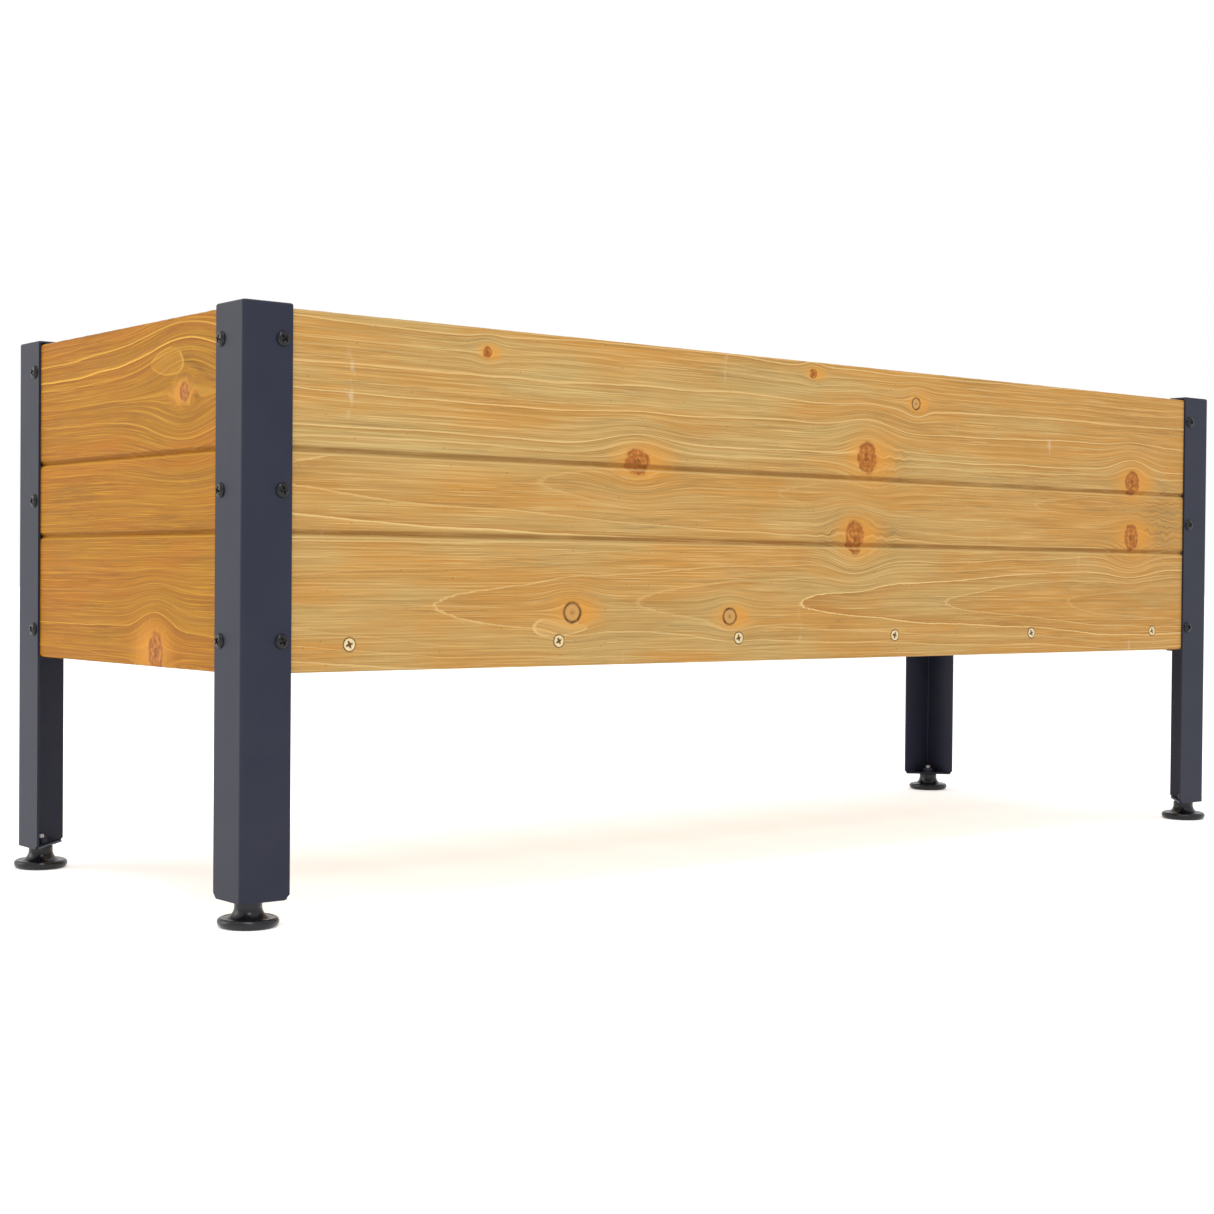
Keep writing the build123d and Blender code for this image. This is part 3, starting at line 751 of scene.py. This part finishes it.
def side_panel(node, along):
    """One wide board with two V grooves along its show face."""
    low, high = (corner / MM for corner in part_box(node))
    index, across = (0, 1) if along == "X" else (1, 0)
    sign = 1 if low[across] > 0 else -1
    face = max(abs(low[across]), abs(high[across]))
    depth = high[across] - low[across]
    middle = (low.z + high.z) / 2
    grooves = (middle - GROOVE_SPREAD, middle + GROOVE_SPREAD)
    seats = [(x, SCREW_LEVEL) for x in SCREW_PLACES] if along == "X" else []
    seat_level = SCREW_LEVEL if seats else None
    outline = board_outline(depth, low.z, high.z, PANEL_ARRIS, grooves, seat_level)

    def place(s, d, level):
        y = sign * (face - d)
        return (s, y, level) if along == "X" else (y, s, level)

    seed = len(node) + sign + 3 * index
    bm = board(bmesh.new(), outline, low[index], high[index], place, seed, seats=seats)
    piece(f"{node}_board", bm, WOODS[node], "planter", "stained_wood", node, crease=50)


def floor_boards():
    """The two battens and the ten slats of the floor."""
    for side, sign in (("front", -1), ("rear", 1)):
        node = f"floor_batten_{side}"
        low, high = (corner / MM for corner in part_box(node))
        face = max(abs(low.y), abs(high.y))
        outline = board_outline(high.y - low.y, low.z, high.z, BATTEN_ARRIS)

        def place(s, d, level):
            return (s, sign * (face - d), level)

        bm = board(bmesh.new(), outline, low.x, high.x, place, seed=30 + sign, pitch=8.0)
        piece(f"{node}_bar", bm, WOODS["batten"], "planter", "floor_wood", node, crease=50)
    for number in range(1, 11):
        node = f"floor_slat_{number:02d}"
        low, high = (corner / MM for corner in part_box(node))
        outline = board_outline(high.z - low.z, low.x, high.x, BATTEN_ARRIS)

        def place(s, d, level):
            return (level, s, high.z - d)

        bm = board(bmesh.new(), outline, low.y, high.y, place, seed=40 + number, pitch=8.0)
        piece(f"{node}_board", bm, WOODS["slat"], "planter", "floor_wood", node, crease=50)


for panel_name, panel_axis in (("front", "X"), ("rear", "X"), ("left", "Y"), ("right", "Y")):
    side_panel(f"panel_{panel_name}", panel_axis)
floor_boards()


# ---------------------------------------------------------------- screws

LEG_SCREW_PITCH, LEG_SCREW_INSET = 108, 32
BATTEN_SCREW_LENGTH, SLAT_SCREW_LENGTH = 40.0, 32.0
# the heads stand a little in or out of the face, to sit in their craters
BATTEN_SCREW_FACE = LONG_FACE - 0.15
SLAT_SCREW_FACE = FLOOR_FACE + 0.12
BATTEN_MIDDLE = 160.0

def cross_cutter(top, reach, half, depth):
    """The shape of a cross driver's tip, pointing down from the level top."""
    bm = bmesh.new()
    rings = []
    for level, arm, wing in (
        (top + 1.0, reach * 1.06, half * 1.05),
        (top, reach, half),
        (top - depth * 0.55, reach * 0.82, half * 0.86),
        (top - depth, reach * 0.30, half * 0.55),
    ):
        quarter = [(arm, -wing), (arm, wing), (wing * 1.25, wing * 1.25)]
        ring = []
        for i in range(4):
            c, s = (1, 0, -1, 0)[i], (0, 1, 0, -1)[i]
            ring += [(x * c - y * s, x * s + y * c, level) for x, y in quarter]
        rings.append(ring)
    rows = skin(bm, rings)
    bm.faces.new(rows[0])
    bm.faces.new(rows[-1])
    return bm


def threaded(core, crest, top, bottom, pitch, steps=16):
    """Rings of points for a screw thread that fades out at the top, and runs to a point."""
    rings = []
    rows = int((top - bottom) / pitch * 4)
    for i in range(rows + 1):
        z = top + (bottom - top) * i / rows
        left = z - bottom
        point = min(1.0, left / (3.2 * core))
        fade = min(1.0, (top - z) / (2 * pitch))
        ring = []
        for k in range(steps):
            angle = math.tau * k / steps
            turn = (z / pitch + k / steps) % 1.0
            ridge = max(0.0, 1 - abs(turn - 0.5) * 4.0)
            r = core * max(point, 0.04) + (crest - core) * ridge * fade * point
            ring.append((r * math.cos(angle), r * math.sin(angle), z))
        rings.append(ring)
    return rings


def screw(head, length, core, crest, cutter):
    """A wood screw: a turned head with a driven cross, and a threaded shank."""
    bm = bmesh.new()
    lathe(bm, head, 40)
    bm = carve(bm, cross_cutter(*cutter))
    rows = skin(bm, threaded(core, crest, min(z for _, z in head) + 0.05, -length, 1.8, 12))
    bm.faces.new(rows[0])
    bm.faces.new(rows[-1])
    return bm


def pan_screws():
    """The black pan-head screws through the flanges."""
    r, h = 5.5, 2.8
    dome = [(0, h), (1.2, h - 0.02), (2.3, h - 0.10), (3.3, h - 0.30), (4.2, h - 0.66)]
    dome += [(4.85, h - 1.12), (5.25, h - 1.65), (r, 0.62), (r, 0.18), (5.32, 0.0)]
    head = eased(dome, 3) + [(2.0, 0.0), (2.0, -0.4), (0, -0.4)]
    template = screw(head, 17.0, 1.6, 2.15, (h, 3.1, 0.68, 1.9))
    low, high = (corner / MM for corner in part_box("leg_screws"))
    half_x, half_y = high.x - h, high.y - h
    middle = (low.z + high.z) / 2
    places = []
    for level in (middle - LEG_SCREW_PITCH, middle, middle + LEG_SCREW_PITCH):
        for side_x, side_y in CORNERS.values():
            origin = (side_x * (half_x - LEG_SCREW_INSET), side_y * half_y, level)
            places.append(facing(origin, (0, side_y, 0), random.uniform(0, math.tau)))
            origin = (side_x * half_x, side_y * (half_y - LEG_SCREW_INSET), level)
            places.append(facing(origin, (side_x, 0, 0), random.uniform(0, math.tau)))
    bm = copies(template, places)
    piece("leg_screws_detail", bm, SCREW, "planter", "black_screw", "leg_screws")


def flat_screw(length):
    """A countersunk screw whose face lies just under Z = 0."""
    r = 4.65
    head = [(0, -0.06), (2.4, -0.05), (4.2, -0.03), (r - 0.1, -0.06), (r, -0.20)]
    head += [(r - 0.12, -0.45), (2.05, -2.65), (2.0, -3.2), (0, -3.2)]
    return screw(head, length, 1.5, 2.0, (0.0, 3.0, 0.78, 2.5))


def zinc_screws():
    """The countersunk screws of the floor."""
    places = []
    for side in (-1, 1):
        for x in SCREW_PLACES:
            origin = (x, side * BATTEN_SCREW_FACE, SCREW_LEVEL)
            tilt = Vector((random.uniform(-0.02, 0.02), side, random.uniform(-0.02, 0.02)))
            places.append(facing(origin, tilt, random.uniform(0, math.tau)))
    bm = copies(flat_screw(BATTEN_SCREW_LENGTH), places)
    piece("batten_screws_detail", bm, YELLOW_ZINC, "planter", "yellow_zinc", "batten_screws")
    places = []
    for i in range(10):
        for side in (-1, 1):
            origin = ((i - 4.5) * SLAT_PITCH, side * BATTEN_MIDDLE, SLAT_SCREW_FACE)
            places.append(facing(origin, (0, 0, 1), random.uniform(0, math.tau)))
    bm = copies(flat_screw(SLAT_SCREW_LENGTH), places)
    piece("slat_screws_detail", bm, YELLOW_ZINC, "planter", "yellow_zinc", "slat_screws")


random.seed(7)
pan_screws()
zinc_screws()


# ---------------------------------------------------------------- feet and steel


def foot(corner, axis):
    """The moulded pedestal: the neck flares into a dished disc with a rounded rim."""
    outer = [(9.3, 18.2), (9.8, 18.05), (10.0, 17.6), (10.0, 15.4), (10.05, 13.8), (10.4, 12.1)]
    outer += [(11.1, 10.5), (12.2, 9.0), (13.7, 7.75), (15.4, 6.95), (16.8, 6.65), (17.9, 6.75)]
    outer += [(18.9, 6.98), (19.9, 6.95), (20.9, 6.5), (21.7, 5.7), (22.15, 4.6), (22.15, 3.4)]
    outer += [(21.75, 2.2), (21.0, 1.1), (20.1, 0.35), (19.2, 0.0)]
    under = [(16.9, 0.0), (16.3, 0.4), (16.2, 1.0), (16.1, 3.6), (8.7, 5.0), (8.6, 2.7), (8.3, 2.4)]
    under += [(6.3, 2.4), (6.0, 2.7), (6.0, 7.0), (3.06, 7.0), (3.06, 18.0), (3.3, 18.2)]
    bm = bmesh.new()
    lathe(bm, eased(outer, 3) + under, 96)
    for i in range(6):
        angle = math.tau * i / 6
        spoke = bmesh.new()
        rings = []
        for radius, thick in ((8.2, 0.9), (12.4, 0.8), (16.6, 0.9)):
            line = [(-thick, 5.6), (-thick, 1.7), (-thick + 0.3, 1.4)]
            line += [(-y, z) for y, z in reversed(line)]
            rings.append([(radius, y, z) for y, z in line])
        rows = skin(spoke, rings)
        spoke.faces.new(rows[0])
        spoke.faces.new(rows[-1])
        turn = Matrix.Rotation(angle, 3, "Z")
        bmesh.ops.rotate(spoke, cent=(0, 0, 0), matrix=turn, verts=spoke.verts)
        part = bpy.data.meshes.new("spoke")
        spoke.to_mesh(part)
        spoke.free()
        bm.from_mesh(part)
    bmesh.ops.translate(bm, vec=(*axis, 0), verts=bm.verts)
    body, node = f"foot_{corner}", f"foot_base_{corner}"
    piece(f"foot_{corner}_moulding", bm, PLASTIC, body, "foot_plastic", node)


def stud(corner, axis):
    """An M6 stud with a rolled thread, a plain neck and a pressed round head."""
    bm = bmesh.new()
    profile = [(0, 4.4), (5.1, 4.4), (5.6, 4.7), (5.7, 5.2), (5.7, 6.1), (5.5, 6.6), (5.2, 6.7)]
    profile += [(3.2, 6.7), (3.0, 7.0), (3.0, 18.3), (2.7, 18.8), (2.45, 18.9), (2.45, 19.4)]
    profile += [(0, 19.4)]
    lathe(bm, profile, 48)
    rings = []
    for i in range(113):
        z = 19.1 + (28.3 - 19.1) * i / 112
        fade = min(1.0, (28.3 - z) / 0.7, (z - 19.0) / 0.5)
        ring = []
        for k in range(32):
            ridge = abs(((z + k / 32) % 1.0) - 0.5) * 2.0
            r = 2.46 + 0.53 * min(1.0, ridge * 1.15) * max(fade, 0.0)
            r -= 0.25 * max(0.0, 1 - (28.3 - z) / 0.3)
            ring.append((r * math.cos(math.tau * k / 32), r * math.sin(math.tau * k / 32), z))
        rings.append(ring)
    rows = skin(bm, rings)
    bm.faces.new(rows[0])
    bm.faces.new(rows[-1])
    bmesh.ops.translate(bm, vec=(*axis, 0), verts=bm.verts)
    piece(f"stud_{corner}_detail", bm, ZINC, f"stud_{corner}", "zinc", f"foot_stud_{corner}")


def nuts(axes):
    """Hexagon nuts, chamfered all round, with a plain bore chamfered at both ends."""
    flats, base, height = 10.0, 20.5, 5.0
    bm = bmesh.new()
    rings = []
    steps = 72
    for z, limit in ((0.0, 5.05), (0.35, 5.75), (height - 0.35, 5.75), (height, 5.05)):
        ring = []
        for k in range(steps):
            angle = math.tau * k / steps
            side = (angle + math.pi / 6) % (math.pi / 3) - math.pi / 6
            r = min(flats / 2 / math.cos(side), limit)
            ring.append((r * math.cos(angle), r * math.sin(angle), z))
        rings.append(ring)
    for z, r in ((height, 3.5), (height - 0.45, 3.05), (0.45, 3.05), (0.0, 3.5)):
        turns = [math.tau * k / steps for k in range(steps)]
        rings.append([(r * math.cos(angle), r * math.sin(angle), z) for angle in turns])
    rings.append(rings[0])
    skin(bm, rings)
    places = [
        Matrix.Translation((*axis, base)) @ Matrix.Rotation(i * 0.4, 4, "Z")
        for i, axis in enumerate(axes)
    ]
    bm = copies(bm, places)
    piece("foot_nuts_detail", bm, COAT, "planter", "powder_coat", "foot_nuts", crease=25)


def bead(bm, start, end, up, out, size, seed):
    """A weld bead: a low rippled fillet in the corner between two sheets."""
    start, end, up, out = Vector(start), Vector(end), Vector(up), Vector(out)
    length = (end - start).length
    count = int(length / 0.5)
    rings = []
    for i in range(count + 1):
        s = length * i / count
        taper = min(1.0, (s + 0.3) / 1.6, (length - s + 0.3) / 1.6) ** 0.5
        ripple = 1 + 0.13 * abs(math.sin(math.pi * s / 1.7)) + 0.12 * wave(s / 3, seed, 0.0)
        middle = start + (end - start) * (i / count)
        ring = [middle - out * 0.3 - up * 0.3]
        for k in range(7):
            angle = math.pi / 2 * k / 6
            r = size * taper * ripple * (0.78 + 0.22 * abs(math.cos(2 * angle)))
            ring.append(middle + out * r * math.cos(angle) + up * r * math.sin(angle))
        rings.append([tuple(p) for p in ring])
    rows = skin(bm, rings)
    bm.faces.new(rows[0])
    bm.faces.new(rows[-1])


def welds():
    """Beads that hold the foot plates and ledges to the legs."""
    bm = bmesh.new()
    for seed, (corner, (side_x, side_y)) in enumerate(CORNERS.items()):
        corner_x, corner_y = side_x * END_FACE, side_y * LONG_FACE
        for level, up, spans in (
            (20.5, 1, ((5.0, 13.0), (22.0, 31.0))),
            (179.0, -1, ((6.0, 15.0), (24.0, 34.0))),
        ):
            for a, b in spans:
                line = [(corner_x - side_x * v, corner_y, level) for v in (a, b)]
                bead(bm, *line, (0, 0, up), (0, -side_y, 0), 1.5, seed + a)
                line = [(corner_x, corner_y - side_y * v, level) for v in (a, b)]
                bead(bm, *line, (0, 0, up), (-side_x, 0, 0), 1.5, seed + b)
    piece("weld_beads", bm, COAT, "planter", "powder_coat", crease=60)


def soften(node, width):
    """Ease the sheared edges of a CAD part, as the coating does."""
    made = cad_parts[node]
    weld = made.modifiers.new("weld", "WELD")
    weld.merge_threshold = 1e-5
    bevel = made.modifiers.new("ease", "BEVEL")
    bevel.width, bevel.segments = width * MM, 2
    bevel.limit_method, bevel.angle_limit = "ANGLE", math.radians(40)
    bevel.harden_normals = True


axes = []
for corner_name, (side_x, side_y) in CORNERS.items():
    low, high = (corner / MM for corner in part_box(f"foot_base_{corner_name}"))
    axes.append(((low.x + high.x) / 2, (low.y + high.y) / 2))
    foot(corner_name, axes[-1])
    stud(corner_name, axes[-1])
    for kind in ("leg", "foot_plate", "panel_ledge"):
        assign(f"{kind}_{corner_name}", COAT)
        soften(f"{kind}_{corner_name}", 0.25)
nuts(axes)
welds()


# ---------------------------------------------------------------- studio


def paper():
    """The pale floor: matt studio paper."""
    g = Graph("stage_floor")
    grain = g.noise(g.place(), 0.2, 2.0)
    g.surface(
        Base_Color=g.mix(grain, (0.88, 0.88, 0.88), (0.90, 0.90, 0.90)),
        Roughness=0.9,
        Specular_IOR_Level=0.1,
        Emission_Color=(1.0, 1.0, 1.0, 1.0),
        Emission_Strength=0.36,
    )
    return g.material


def stage_floor():
    bpy.ops.mesh.primitive_plane_add(size=60.0, location=(0, 0, 0))
    floor = bpy.context.object
    floor.name = "stage_floor"
    floor.data.materials.append(paper())


def area_light(name, location, target, size, power, colour=(1, 1, 1)):
    light = bpy.data.lights.new(name, "AREA")
    light.shape = "RECTANGLE"
    light.size, light.size_y = size
    light.energy = power
    light.color = colour
    lamp = bpy.data.objects.new(name, light)
    bpy.context.collection.objects.link(lamp)
    lamp.location = location
    away = Vector(target) - Vector(location)
    lamp.rotation_euler = away.to_track_quat("-Z", "Y").to_euler()


def world_light(strength):
    """Even white light from all round."""
    world = bpy.data.worlds.new("studio")
    world.use_nodes = True
    background = world.node_tree.nodes["Background"]
    background.inputs[0].default_value = (1.0, 1.0, 1.0, 1.0)
    background.inputs[1].default_value = strength
    bpy.context.scene.world = world


def camera():
    """The camera stands low at the front left corner, nearly level."""
    place = Vector((-1.267893, -1.457888, 0.252941))
    yaw, pitch, roll = 0.6812, -0.0154, 0.0086
    level = math.cos(pitch)
    forward = Vector((math.sin(yaw) * level, math.cos(yaw) * level, math.sin(pitch)))
    right = Vector((math.cos(yaw), -math.sin(yaw), 0.0))
    up = right.cross(forward)
    turned_right = right * math.cos(roll) + up * math.sin(roll)
    turned_up = up * math.cos(roll) - right * math.sin(roll)
    data = bpy.data.cameras.new("camera")
    data.lens = 59.73
    data.sensor_width = 36.0
    made = bpy.data.objects.new("camera", data)
    bpy.context.collection.objects.link(made)
    rotation = Matrix((turned_right, turned_up, -forward)).transposed()
    made.matrix_world = Matrix.Translation(place) @ rotation.to_4x4()
    bpy.context.scene.camera = made


stage_floor()
world_light(1.0)
area_light("key", (-1.3, -2.6, 2.5), (0, 0, 0.25), (0.5, 0.5), 18)
area_light("rim", (-3.4, 2.6, 1.6), (-0.5, 0, 0.25), (2.4, 2.4), 54, (1.0, 0.92, 0.82))
area_light("top", (-0.9, -0.7, 3.2), (-0.1, 0, 0.3), (1.0, 1.0), 26)
bpy.context.scene.view_settings.view_transform = "Standard"
camera()
